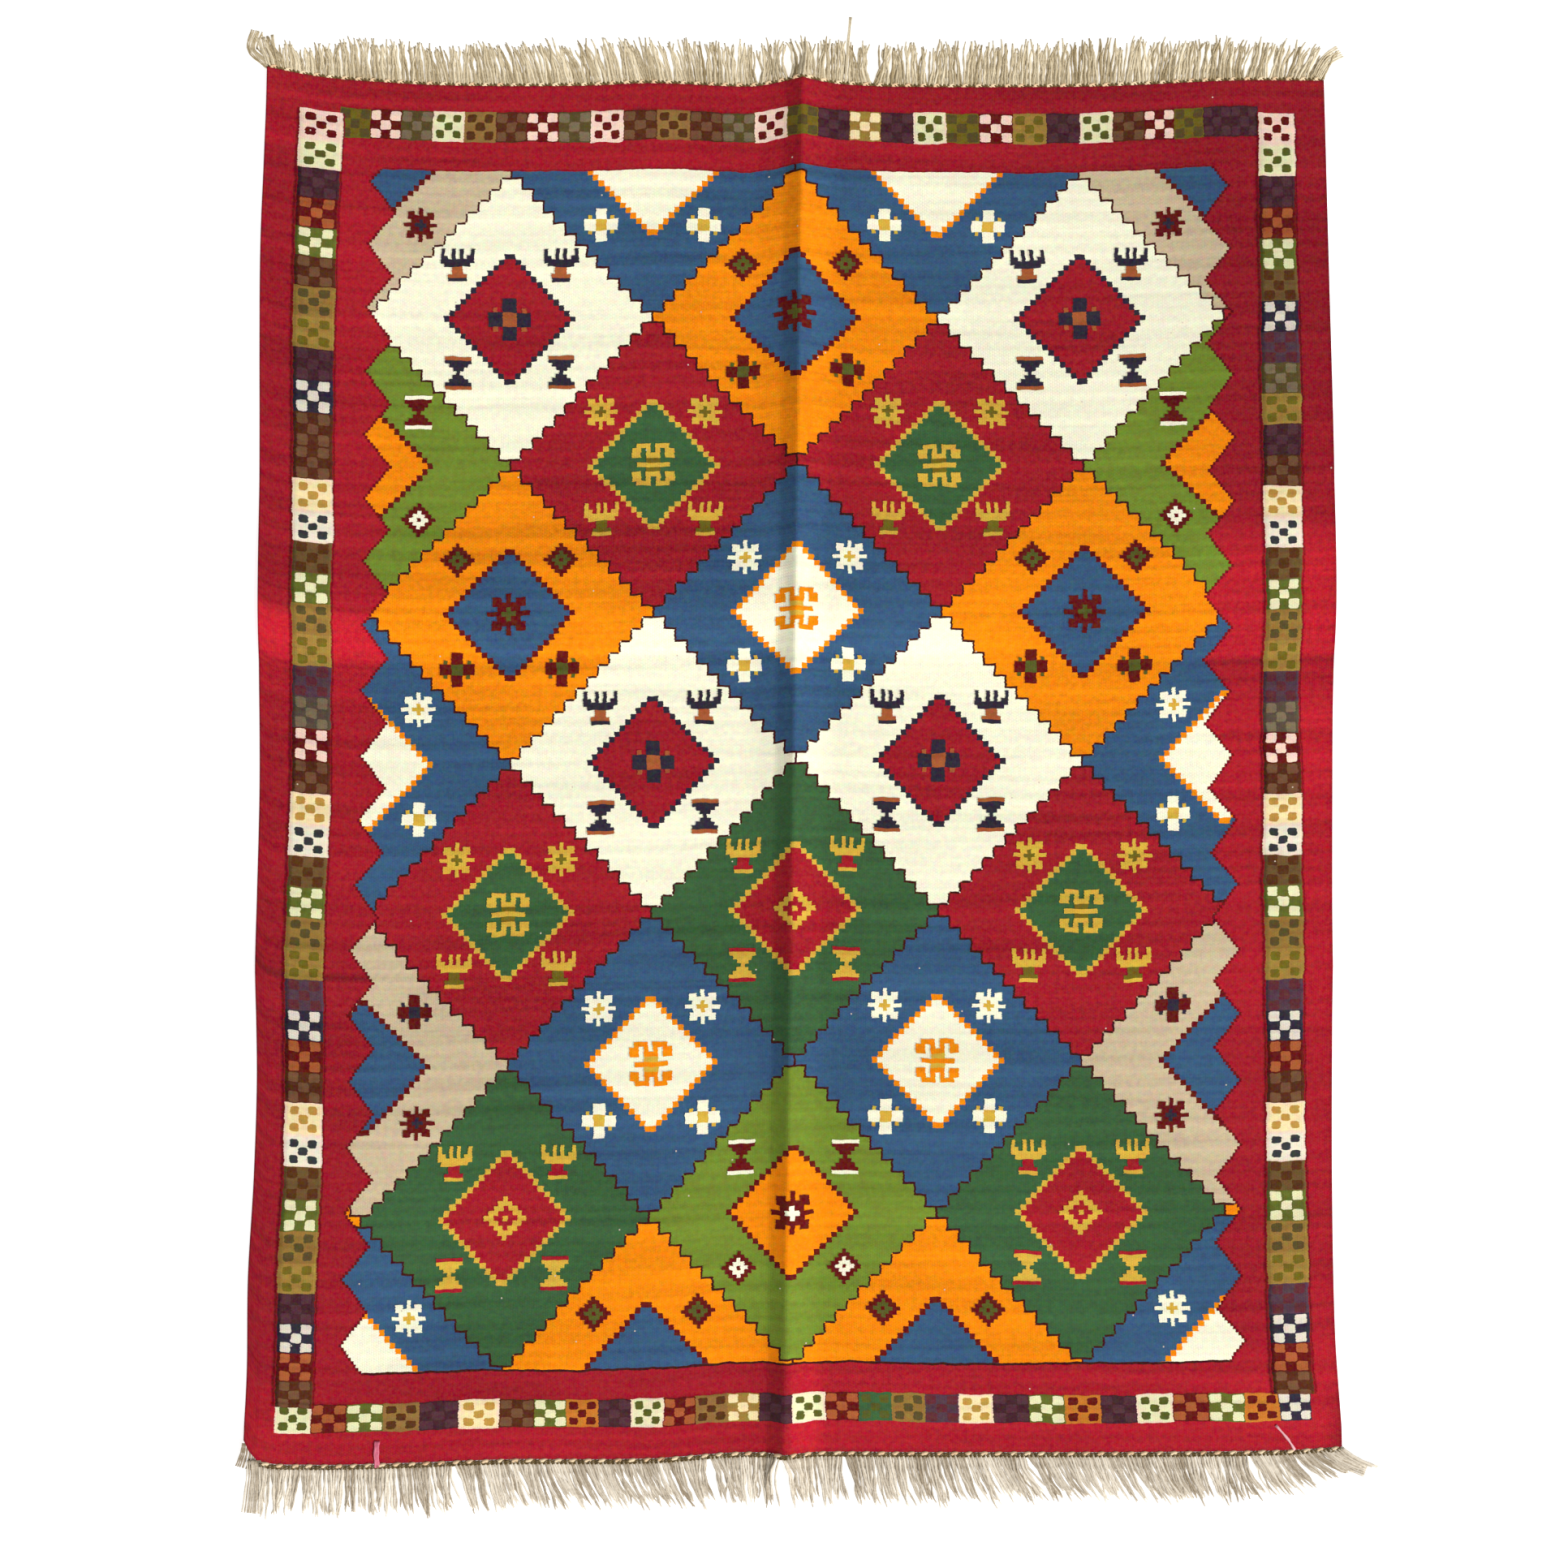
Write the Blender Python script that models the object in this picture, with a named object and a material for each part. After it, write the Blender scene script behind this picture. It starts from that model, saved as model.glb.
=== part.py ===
"""A flat-woven wool kilim rug with a knotted cotton warp fringe at each end.

The rug lies flat on its underside. X runs across it, Y along its warps towards its head end, and
Z up. The origin is in the middle of the underside of everything, fringes included. Three pieces
are modelled, each one closed solid: the cloth, which is one thin sheet with the soft ridges that
were left by its storage folds, and the two fringes, each one comb along its end of the cloth.
"""

import math

import bmesh
import bpy

# Driving dimensions, in metres
CLOTH_WIDTH = 1.220
CLOTH_LENGTH = 1.560
CLOTH_THICKNESS = 0.0026
COLUMN_STEP = 0.026  # between the columns of the cloth's facets, away from its ridges
ROW_STEP = 0.052  # and between its rows

FRINGE_THICKNESS = 0.0024
FRINGE_GAP = 0.0007  # between the cloth's end and the knotted band, at the band's points
BAND_DEPTH = 0.0060  # the knotted band that every tassel hangs from
TASSELS = 63  # on each end
FOOT_START = -0.594  # the foot fringe starts where the left corner's cut ends
ROOT_SHARE = 0.45  # a tassel's width at its knot, as a share of the knots' spacing
TIP_SHARE = 0.72  # and at its tip

# How far each edge of the cloth stands outside its straight line. "along" is the place on that
# edge: Y on the long sides, X on the ends. "out" is the distance outwards.
EDGE_COLUMNS = ("along", "out")
LEFT_EDGE = (
    (-0.760, 0.006),
    (-0.700, 0.004),
    (-0.600, 0.004),
    (-0.490, -0.001),
    (-0.380, -0.003),
    (-0.250, 0.000),
    (-0.050, -0.002),
    (0.120, 0.001),
    (0.340, 0.003),
    (0.560, 0.005),
    (0.680, 0.002),
    (0.780, -0.001),
)
RIGHT_EDGE = (
    (-0.760, -0.001),
    (-0.650, -0.007),
    (-0.480, -0.008),
    (-0.270, -0.005),
    (-0.050, -0.002),
    (0.060, 0.000),
    (0.170, 0.004),
    (0.340, 0.005),
    (0.560, 0.002),
    (0.780, -0.001),
)
HEAD_EDGE = (
    (-0.610, 0.018),
    (-0.560, 0.009),
    (-0.504, 0.003),
    (-0.390, -0.003),
    (-0.250, -0.003),
    (-0.165, 0.000),
    (-0.055, -0.004),
    (0.000, 0.001),
    (0.110, -0.004),
    (0.340, -0.004),
    (0.506, 0.003),
    (0.610, 0.003),
)
FOOT_EDGE = (
    (-0.610, -0.018),
    (-0.596, 0.004),
    (-0.540, 0.010),
    (-0.430, 0.008),
    (-0.320, 0.004),
    (-0.160, 0.003),
    (-0.055, -0.004),
    (0.160, -0.004),
    (0.380, -0.004),
    (0.540, -0.006),
    (0.610, -0.010),
)

# The soft ridges that the storage folds left. A lengthwise crest has its X, and its height, at the foot
# and at the head, and a crosswise crest its Y, and its height, at the left and at the right. "before"
# and "after" are the flanks, towards -X or -Y and towards +X or +Y: their width, and their shape.
RIDGE_COLUMNS = ("runs", "start", "end", "start_height", "end_height", "before", "after")
RIDGES = (
    ("lengthwise", -0.009, 0.008, 0.0070, 0.0110, (0.052, "folded"), (0.046, "folded")),
    ("crosswise", 0.184, 0.187, 0.0065, 0.0060, (0.072, "bulging"), (0.140, "easing")),
    ("crosswise", -0.238, -0.235, 0.0030, 0.0030, (0.060, "folded"), (0.080, "folded")),
)
# A flank's height is (1 - s ** first) ** second of its crest's, where s goes from 0 at the crest to 1.
FLANK_SHAPES = {
    "folded": (1.0, 1.5),  # down from a sharp crest, and then hollow
    "bulging": (2.0, 1.0),  # round, down into a sharp crease
    "easing": (2.0, 2.0),  # round, and then level
}

# The two corners of the left side curl up a little.
CORNER_COLUMNS = ("x", "y", "lift", "reach")
CORNERS = (
    (-0.610, 0.795, 0.0040, 0.060),
    (-0.613, -0.775, 0.0050, 0.055),
)

# How the tassels lie: their length, and how far they lean towards +X for each metre that they run
# out from the cloth. "along" is the X of their knots.
FRINGE_COLUMNS = ("along", "length", "lean")
HEAD_FRINGE = (
    (-0.610, 0.044, -0.35),
    (-0.580, 0.030, -0.25),
    (-0.540, 0.034, -0.10),
    (-0.400, 0.043, 0.00),
    (-0.200, 0.045, -0.08),
    (0.000, 0.045, 0.00),
    (0.300, 0.046, 0.08),
    (0.500, 0.044, 0.15),
    (0.580, 0.038, 0.30),
    (0.610, 0.036, 0.50),
)
FOOT_FRINGE = (
    (-0.610, 0.056, -0.10),
    (-0.500, 0.053, 0.05),
    (-0.300, 0.054, 0.20),
    (0.000, 0.053, 0.10),
    (0.300, 0.052, 0.15),
    (0.450, 0.051, 0.22),
    (0.520, 0.048, 0.50),
    (0.570, 0.043, 1.00),
    (0.610, 0.040, 1.60),
)

WOOL = {"name": "kilim wool", "color": (0.40, 0.012, 0.022, 1.0), "roughness": 0.92}
COTTON = {"name": "fringe cotton", "color": (0.63, 0.55, 0.42, 1.0), "roughness": 0.88}


def table_value(table, place, column):
    """A column of a table whose first column is a place, on a smooth curve through its rows."""
    place = min(max(place, table[0][0]), table[-1][0])
    after = next(i for i in range(1, len(table)) if place <= table[i][0])
    rows = [table[max(after - 2, 0)], table[after - 1], table[after]]
    rows.append(table[min(after + 1, len(table) - 1)])
    (x0, y0), (x1, y1), (x2, y2), (x3, y3) = ((row[0], row[column]) for row in rows)
    step = x2 - x1
    share = (place - x1) / step
    leaving, arriving = step * (y2 - y0) / (x2 - x0), step * (y3 - y1) / (x3 - x1)
    bend = leaving + arriving - 2 * (y2 - y1)
    return y1 + share * (leaving + share * (y2 - y1 - leaving - bend * (1 - share)))


def ridge_height(distance, height, before, after):
    """A fold's ridge: highest on its crest, and nothing past the end of its flanks."""
    width, shape = before if distance < 0 else after
    first, second = FLANK_SHAPES[shape]
    share = min(abs(distance) / width, 1.0)
    return height * (1 - share**first) ** second


def lift(x, y):
    """How high the underside of the cloth is above what the rug lies on."""
    raised = 0.0
    for runs, start, end, start_height, end_height, before, after in RIDGES:
        along, across, length = (y, x, CLOTH_LENGTH) if runs == "lengthwise" else (x, y, CLOTH_WIDTH)
        share = min(max(along / length + 0.5, 0.0), 1.0)
        crest = start + (end - start) * share
        height = start_height + (end_height - start_height) * share
        raised = max(raised, ridge_height(across - crest, height, before, after))
    for corner_x, corner_y, corner_lift, reach in CORNERS:
        distance = math.hypot(x - corner_x, y - corner_y)
        raised = max(raised, ridge_height(distance, corner_lift, (reach, "folded"), (reach, "folded")))
    return raised


def laid(u, v):
    """Where a point of the straight woven cloth lies, once its edges are as uneven as they are."""
    right_share = u / CLOTH_WIDTH + 0.5
    head_share = v / CLOTH_LENGTH + 0.5
    x = u + table_value(RIGHT_EDGE, v, 1) * right_share
    x -= table_value(LEFT_EDGE, v, 1) * (1 - right_share)
    y = v + table_value(HEAD_EDGE, u, 1) * head_share
    y -= table_value(FOOT_EDGE, u, 1) * (1 - head_share)
    return x, y


def stations(half, step, crests):
    """Grid lines from -half to half: even ones, with five across each ridge in their place."""
    across = []
    for crest, before, after in crests:
        across += [crest - before, crest - before / 2, crest, crest + after / 2, crest + after]
    count = round(2 * half / step)
    even = [half * (2 * i / count - 1) for i in range(count + 1)]
    clear = [
        place for place in even if all(abs(place - line) > step / 4 for line in across)
    ]
    return sorted([*clear, *across])


def material_of(look):
    material = bpy.data.materials.get(look["name"]) or bpy.data.materials.new(look["name"])
    material.use_nodes = True
    shader = material.node_tree.nodes["Principled BSDF"]
    shader.inputs["Base Color"].default_value = look["color"]
    shader.inputs["Roughness"].default_value = look["roughness"]
    shader.inputs["Metallic"].default_value = 0.0
    return material


def sheet_solid(name, places, quads, thickness, look):
    """One closed solid: the quads over the places, which are on its underside, made this thick."""
    shape = bmesh.new()
    corners = [shape.verts.new(place) for place in places]
    for quad in quads:
        shape.faces.new([corners[i] for i in quad])
    grown = bmesh.ops.extrude_face_region(shape, geom=shape.faces[:], use_keep_orig=True)
    top = [part for part in grown["geom"] if isinstance(part, bmesh.types.BMVert)]
    bmesh.ops.translate(shape, verts=top, vec=(0.0, 0.0, thickness))
    bmesh.ops.recalc_face_normals(shape, faces=shape.faces[:])
    mesh = bpy.data.meshes.new(name)
    shape.to_mesh(mesh)
    shape.free()
    mesh.materials.append(material_of(look))
    made = bpy.data.objects.new(name, mesh)
    bpy.context.collection.objects.link(made)
    return made


def cloth():
    """The woven sheet, from selvedge to selvedge."""
    crests = {"lengthwise": [], "crosswise": []}
    for runs, start, end, _, _, before, after in RIDGES:
        crests[runs].append(((start + end) / 2, before[0], after[0]))
    columns = stations(CLOTH_WIDTH / 2, COLUMN_STEP, crests["lengthwise"])
    rows = stations(CLOTH_LENGTH / 2, ROW_STEP, crests["crosswise"])
    places = []
    for v in rows:
        for u in columns:
            x, y = laid(u, v)
            places.append((x, y, lift(x, y)))
    across = len(columns)
    quads = [
        (k, k + 1, k + 1 + across, k + across)
        for row in range(len(rows) - 1)
        for k in range(row * across, row * across + across - 1)
    ]
    return sheet_solid("kilim", places, quads, CLOTH_THICKNESS, WOOL)


def fringe(name, end, start, table):
    """One comb, from start to the right corner: a band along the cloth's end, and its tassels.

    end is 1 at the head and -1 at the foot.
    """
    spacing = (CLOTH_WIDTH / 2 - start) / TASSELS
    places, quads = [], []

    def point(u, out, shift):
        """A point this far out from the cloth's end, and the number it gets."""
        x, edge = laid(u, end * CLOTH_LENGTH / 2)
        settled = 1 - max(out - BAND_DEPTH, 0.0) / 0.04  # a tassel comes down from a lifted edge
        raised = lift(x, edge) * max(settled, 0.0)
        places.append((x + shift, edge + end * out, raised))
        return len(places) - 1

    def cell(first, second):
        """A quad between two pairs of points, wound alike at both ends."""
        quads.append((first[0], first[1], second[1], second[0]))

    before = None
    for tassel in range(TASSELS):
        knot = start + (tassel + 0.5) * spacing
        length = table_value(table, knot, 1)
        lean = table_value(table, knot, 2)
        out = length / math.hypot(1.0, lean)
        root, tip = spacing * ROOT_SHARE / 2, spacing * TIP_SHARE / 2
        sides = []
        for side in (-root, root):
            inner = point(knot + side, FRINGE_GAP, 0.0)
            outer = point(knot + side, FRINGE_GAP + BAND_DEPTH, 0.0)
            sides.append((inner, outer))
        if before:
            cell(before, sides[0])
        cell(*sides)
        before = sides[1]
        rung = (sides[0][1], sides[1][1])
        for share in (0.5, 1.0):
            half = root + (tip - root) * min(2 * share, 1.0)
            reach = FRINGE_GAP + BAND_DEPTH + share * (out - BAND_DEPTH)
            shift = lean * share * out
            wider = tuple(point(knot, reach, shift + side) for side in (-half, half))
            cell(rung, wider)
            rung = wider
    return sheet_solid(name, places, quads, FRINGE_THICKNESS, COTTON)


def centre_on_origin(pieces):
    """Moves the pieces' points so that the origin is in the middle of the underside of them all."""
    points = [vertex.co for piece in pieces for vertex in piece.data.vertices]
    middle_x = (min(p.x for p in points) + max(p.x for p in points)) / 2
    middle_y = (min(p.y for p in points) + max(p.y for p in points)) / 2
    for point in points:
        point.x -= middle_x
        point.y -= middle_y


for old in list(bpy.data.objects):
    bpy.data.objects.remove(old)
centre_on_origin(
    [
        cloth(),
        fringe("fringe_head", 1, -CLOTH_WIDTH / 2, HEAD_FRINGE),
        fringe("fringe_foot", -1, FOOT_START, FOOT_FRINGE),
    ]
)
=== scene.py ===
"""The looks of the kilim rug: its woven cloth, its fringes, a pale floor, lights and a camera.

Lengths are in metres, in the frame's own directions: X across the rug, Y along its warps towards
its head, Z up. A place on the cloth is named by u and v, its distances from the middle of the
straight woven cloth, across the warps and along them.
"""

import math
import random

import bpy
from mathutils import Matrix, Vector, noise


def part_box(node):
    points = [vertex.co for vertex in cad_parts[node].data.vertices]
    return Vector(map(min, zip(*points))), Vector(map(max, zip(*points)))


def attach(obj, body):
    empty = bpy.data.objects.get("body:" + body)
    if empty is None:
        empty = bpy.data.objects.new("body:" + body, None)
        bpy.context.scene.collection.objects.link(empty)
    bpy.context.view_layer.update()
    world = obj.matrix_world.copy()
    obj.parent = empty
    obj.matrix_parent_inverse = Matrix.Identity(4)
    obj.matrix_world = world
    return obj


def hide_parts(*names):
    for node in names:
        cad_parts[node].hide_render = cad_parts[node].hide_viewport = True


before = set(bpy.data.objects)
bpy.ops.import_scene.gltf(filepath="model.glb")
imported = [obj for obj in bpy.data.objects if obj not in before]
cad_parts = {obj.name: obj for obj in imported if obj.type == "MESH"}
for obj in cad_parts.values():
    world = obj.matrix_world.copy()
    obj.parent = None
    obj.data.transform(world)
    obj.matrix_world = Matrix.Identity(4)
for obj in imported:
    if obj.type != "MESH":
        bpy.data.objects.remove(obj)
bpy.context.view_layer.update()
CAD_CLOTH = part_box("kilim")

# The cloth, as the CAD has it
CLOTH_WIDTH = 1.22
CLOTH_LENGTH = 1.56
CLOTH_THICKNESS = 0.0026
BAND_DEPTH = 0.006
TASSELS = 63
FOOT_START = -0.594

# How far each edge stands outside its straight line, at places along it
LEFT_EDGE = (
    (-0.76, 0.006), (-0.7, 0.004), (-0.6, 0.004), (-0.49, -0.001), (-0.38, -0.003), (-0.25, 0.0),
    (-0.05, -0.002), (0.12, 0.001), (0.34, 0.003), (0.56, 0.005), (0.68, 0.002), (0.78, -0.001),
)
RIGHT_EDGE = (
    (-0.76, -0.001), (-0.65, -0.007), (-0.48, -0.008), (-0.27, -0.005), (-0.05, -0.002), (0.06, 0.0),
    (0.17, 0.004), (0.34, 0.005), (0.56, 0.002), (0.78, -0.001),
)
HEAD_EDGE = (
    (-0.61, 0.018), (-0.56, 0.009), (-0.504, 0.003), (-0.39, -0.003), (-0.25, -0.003), (-0.165, 0.0),
    (-0.055, -0.004), (0.0, 0.001), (0.11, -0.004), (0.34, -0.004), (0.506, 0.003), (0.61, 0.003),
)
FOOT_EDGE = (
    (-0.61, -0.018), (-0.596, 0.004), (-0.54, 0.01), (-0.43, 0.008), (-0.32, 0.004), (-0.16, 0.003),
    (-0.055, -0.004), (0.16, -0.004), (0.38, -0.004), (0.54, -0.006), (0.61, -0.01),
)

# The storage folds: where the crest is and how high at its start and its end, and the width and
# shape of the flanks before and after it
RIDGES = (
    ("lengthwise", -0.009, 0.008, 0.007, 0.011, (0.052, "folded"), (0.046, "folded")),
    ("crosswise", 0.184, 0.187, 0.0065, 0.006, (0.072, "bulging"), (0.14, "easing")),
    ("crosswise", -0.238, -0.235, 0.003, 0.003, (0.06, "folded"), (0.08, "folded")),
)
FLANK_SHAPES = {"folded": (1.0, 1.5), "bulging": (2.0, 1.0), "easing": (2.0, 2.0)}

# The curled corners: x, y, lift and reach
CORNERS = ((-0.61, 0.795, 0.004, 0.06), (-0.613, -0.775, 0.005, 0.055))

# The fringes, at places along the end: length, and lean towards +X for each metre out
HEAD_FRINGE = (
    (-0.61, 0.046, -0.45), (-0.585, 0.034, -0.3), (-0.555, 0.033, -0.15), (-0.52, 0.044, -0.12),
    (-0.4, 0.047, -0.15), (-0.3, 0.049, -0.33), (-0.18, 0.05, -0.3), (-0.06, 0.05, -0.08),
    (0.1, 0.047, 0.02), (0.3, 0.049, 0.05), (0.45, 0.048, 0.14), (0.57, 0.042, 0.35), (0.61, 0.036, 0.7),
)
FOOT_FRINGE = (
    (-0.61, 0.052, -0.15), (-0.56, 0.053, -0.1), (-0.45, 0.052, 0.1), (-0.35, 0.053, 0.25),
    (-0.28, 0.054, 0.45), (-0.14, 0.054, 0.45), (-0.06, 0.053, 0.12), (0.05, 0.055, 0.15),
    (0.15, 0.055, 0.3), (0.25, 0.055, 0.5), (0.38, 0.055, 0.5), (0.46, 0.054, 0.35), (0.52, 0.053, 0.55),
    (0.56, 0.048, 1.1), (0.61, 0.042, 1.9),
)
# Where the fringes part: the place, how far apart, and whether the yarns meet again at their tips
HEAD_PARTINGS = (
    (-0.043, 0.005, False), (-0.007, 0.005, True), (0.089, 0.0065, False), (0.152, 0.003, False),
    (0.518, 0.0045, False), (0.545, 0.0035, False), (0.566, 0.003, False),
)
FOOT_PARTINGS = (
    (-0.378, 0.005, False), (-0.094, 0.0065, False), (-0.013, 0.0075, False), (0.057, 0.0035, False),
    (0.258, 0.004, False), (0.505, 0.0045, False),
)

# Loose bundles: the way they lie (x, y), how high at the start, how many yarns, how wide and how
# clean
HEAD_LOOSE = (
    (((-0.602, 0.796), (-0.614, 0.806), (-0.627, 0.82), (-0.622, 0.841)), 0.005, 6, 0.009, (0.1, 0.6)),
    (((-0.594, 0.8), (-0.606, 0.812), (-0.612, 0.834)), 0.006, 8, 0.014, (0.0, 0.6)),
    (((0.058, 0.782), (0.06, 0.815), (0.064, 0.857)), 0.005, 2, 0.002, (0.6, 1.0)),
    (((0.6, 0.786), (0.612, 0.806), (0.628, 0.817)), 0.004, 6, 0.01, (0.5, 1.0)),
)
FOOT_LOOSE = (
    (((-0.609, -0.766), (-0.61, -0.779), (-0.614, -0.794)), 0.005, 11, 0.017, (-0.5, 0.2)),
    (((-0.604, -0.784), (-0.6035, -0.804), (-0.607, -0.843)), 0.005, 10, 0.014, (0.3, 1.0)),
    (((0.592, -0.774), (0.608, -0.786), (0.635, -0.797)), 0.003, 8, 0.01, (0.5, 1.0)),
)

# Dyes, as they look in this scene's light: red, green and blue up to 255
DYES = {
    "red": (161, 30, 42), "crimson": (163, 31, 42), "dark red": (100, 24, 22), "blue": (58, 91, 125),
    "navy": (50, 44, 58), "dark slate": (56, 58, 60), "slate": (124, 108, 84), "ash": (88, 74, 62),
    "tan": (208, 188, 154), "leaf": (117, 139, 48), "forest": (62, 98, 60), "deep green": (88, 91, 38),
    "moss green": (98, 104, 42), "orange": (248, 140, 8), "cream": (255, 252, 222),
    "white": (244, 234, 209), "ivory": (228, 218, 200), "pale green": (236, 232, 186),
    "straw": (251, 230, 176), "pink": (249, 215, 196), "aubergine": (70, 38, 44), "plum": (84, 50, 58),
    "violet": (84, 58, 70), "wine": (96, 45, 51), "gold": (160, 127, 60), "dull gold": (148, 114, 55),
    "yellow": (218, 176, 66), "olive": (114, 100, 32), "moss": (90, 76, 42), "fawn": (109, 82, 48),
    "rust": (170, 92, 52), "amber": (196, 118, 44), "brown": (86, 44, 26), "umber": (88, 52, 26),
    "khaki": (146, 110, 60), "honey": (190, 146, 68), "dust": (114, 78, 54), "outline": (66, 26, 24),
    "lint": (226, 206, 190), "head yarn": (244, 229, 197), "head yarn, worn": (168, 148, 110),
    "foot yarn": (244, 233, 214), "foot yarn, worn": (164, 147, 122), "cream cotton": (252, 230, 190),
    "cream cotton, worn": (234, 190, 146), "dark cord": (122, 100, 58), "dark cord, worn": (80, 62, 34),
    "pink thread": (250, 190, 196), "pink thread, worn": (216, 92, 124),
}

# The kinds of block in the border: the ground's dye, the five spots' dye, and how light the ground
# is, from 0 to 1: the lighter, the further in from its edges the spots stand
BLOCKS = {
    "W": ("pink", "dark red", 1.0),
    "E": ("pale green", "deep green", 1.0),
    "G": ("straw", "honey", 1.0),
    "N": ("white", "dark slate", 1.0),
    "a": ("aubergine", "plum", 0.0),
    "v": ("violet", "wine", 0.0),
    "r": ("dark red", "rust", 0.0),
    "p": ("dark red", "pink", 0.0),
    "c": ("moss green", "pale green", 0.0),
    "n": ("navy", "ivory", 0.0),
    "g": ("dull gold", "moss", 0.6),
    "l": ("gold", "olive", 0.6),
    "o": ("olive", "moss", 0.0),
    "m": ("moss", "slate", 0.0),
    "b": ("brown", "dust", 0.0),
    "d": ("fawn", "umber", 0.0),
    "s": ("ash", "slate", 0.0),
    "k": ("khaki", "umber", 0.6),
    "O": ("amber", "dark red", 0.6),
    "C": ("gold", "straw", 0.0),
    "f": ("forest", "deep green", 0.6),
}
# From the head to the foot, and from the left to the right
LEFT_BLOCKS = "WEarcbglanbbGNdcglvspbGNdcglvnrbGNdcglanrb"
RIGHT_BLOCKS = "WEarcdnvmlabGNdcglvspbGNdcglvnrbGNdcglvnrb"
HEAD_BLOCKS = "opmEkbpmWbkbmWoaCaEoplaEbpoaa"
FOOT_BLOCKS = "ErckaGbcOaErkCaErfgvGacOaErcOn"
# Where the blocks stand: v or u, and how many blocks have been passed
LEFT_COUNT = (
    (-0.719, 42), (-0.627, 39), (-0.384, 32), (-0.039, 22), (0.034, 20), (0.317, 12), (0.43, 9), (0.74, 0),
)
RIGHT_COUNT = (
    (-0.724, 42), (-0.63, 39), (-0.492, 35), (-0.393, 32), (-0.046, 22), (0.306, 12), (0.521, 6),
    (0.74, 0),
)
HEAD_COUNT = (
    (-0.524, 0), (-0.417, 3), (-0.235, 8), (-0.046, 13), (0.135, 18), (0.327, 23), (0.401, 25),
    (0.532, 29),
)
FOOT_COUNT = (
    (-0.576, 0), (-0.496, 2), (-0.373, 5), (-0.328, 6), (-0.18, 10), (0.0, 15), (0.185, 20), (0.384, 25),
    (0.541, 29), (0.577, 30),
)
# How far out the border's inner edge, its outer edge and the tips of the field's teeth are, at
# places v: on the left, then on the right
SIDE_LINES = (
    (-0.78, 0.5366, 0.5762, 0.5045, 0.5368, 0.5808, 0.507),
    (-0.64, 0.5351, 0.5767, 0.5045, 0.5363, 0.5818, 0.506),
    (-0.37, 0.5346, 0.5762, 0.505, 0.5358, 0.5778, 0.5038),
    (-0.1, 0.5307, 0.5754, 0.4965, 0.5315, 0.575, 0.5),
    (0.18, 0.5266, 0.5705, 0.49, 0.53, 0.5706, 0.4895),
    (0.34, 0.5265, 0.5716, 0.4885, 0.53, 0.5722, 0.4955),
    (0.6, 0.5229, 0.5706, 0.486, 0.532, 0.5733, 0.4955),
    (0.78, 0.5206, 0.5684, 0.4845, 0.535, 0.5735, 0.495),
)

# How much brighter or darker than its dye the red ground is, at places v: on the left and the right.
# Partly uneven dyeing, partly painted light and shade; the peak near the crosswise fold is a painted
# highlight
RED_TONE = (
    (-0.78, 1.08, 1.17), (-0.735, 1.08, 1.17), (-0.7, 0.95, 1.15), (-0.61, 0.92, 0.95), (-0.5, 0.93, 0.98),
    (-0.354, 0.94, 1.0), (-0.25, 0.96, 1.16), (-0.15, 1.02, 1.14), (-0.04, 1.07, 1.26), (0.03, 1.1, 1.3),
    (0.06, 1.18, 1.25), (0.095, 1.3, 1.14), (0.108, 1.34, 1.16), (0.117, 1.58, 1.34), (0.147, 1.6, 1.37),
    (0.165, 1.28, 1.4), (0.19, 1.1, 1.43), (0.215, 1.06, 1.42), (0.245, 1.08, 1.22), (0.285, 1.1, 0.98),
    (0.355, 1.11, 0.9), (0.585, 1.15, 0.84), (0.69, 1.13, 0.9), (0.78, 1.07, 0.9),
)

# How much brighter or darker the strip outside the left-hand blocks is, at places v
LEFT_STRIP_TONE = (
    (-0.78, -0.1), (-0.62, -0.09), (-0.34, -0.04), (-0.06, -0.09), (0.095, -0.03), (0.132, 0.0),
    (0.17, -0.1), (0.31, -0.11), (0.62, -0.17), (0.78, -0.13),
)
# How far towards the head the blocks at the foot are pulled, at places u
FOOT_PULL = (
    (-0.6, 0.0005), (-0.46, 0.0028), (-0.1, 0.0032), (0.16, 0.0016), (0.6, 0.0),
)

# The field's lozenges, a row at a time from the head: the kind at or nearest the middle, and the
# next one out. Each row stands half a lozenge to the side of the last.
LOZENGE_ROWS = ("BT", "OC", "RL", "BO", "CB", "GR", "BT", "LG", "OB")
# Ground, inner lozenge, its rim, figures, their second dye; then the figures towards the head,
# towards the foot and in the middle
LOZENGES = {
    "B": ("blue", "cream", "orange", "cream", "yellow", 0, 3, 1),
    "G": ("forest", "crimson", "yellow", "yellow", "crimson", 2, 4, 5),
    "O": ("orange", "blue", "dark red", "dark red", "deep green", 5, 3, 0),
    "C": ("cream", "crimson", "navy", "navy", "rust", 2, 4, 3),
    "R": ("crimson", "forest", "yellow", "yellow", "olive", 0, 2, 1),
    "L": ("leaf", "orange", "dark red", "dark red", "cream", 4, 5, 0),
    "T": ("tan", "blue", "dark red", "dark red", "navy", 3, 0, 5),
}
FIELD_KINDS = [LOZENGES[letter] for letters in LOZENGE_ROWS for letter in letters]
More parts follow.
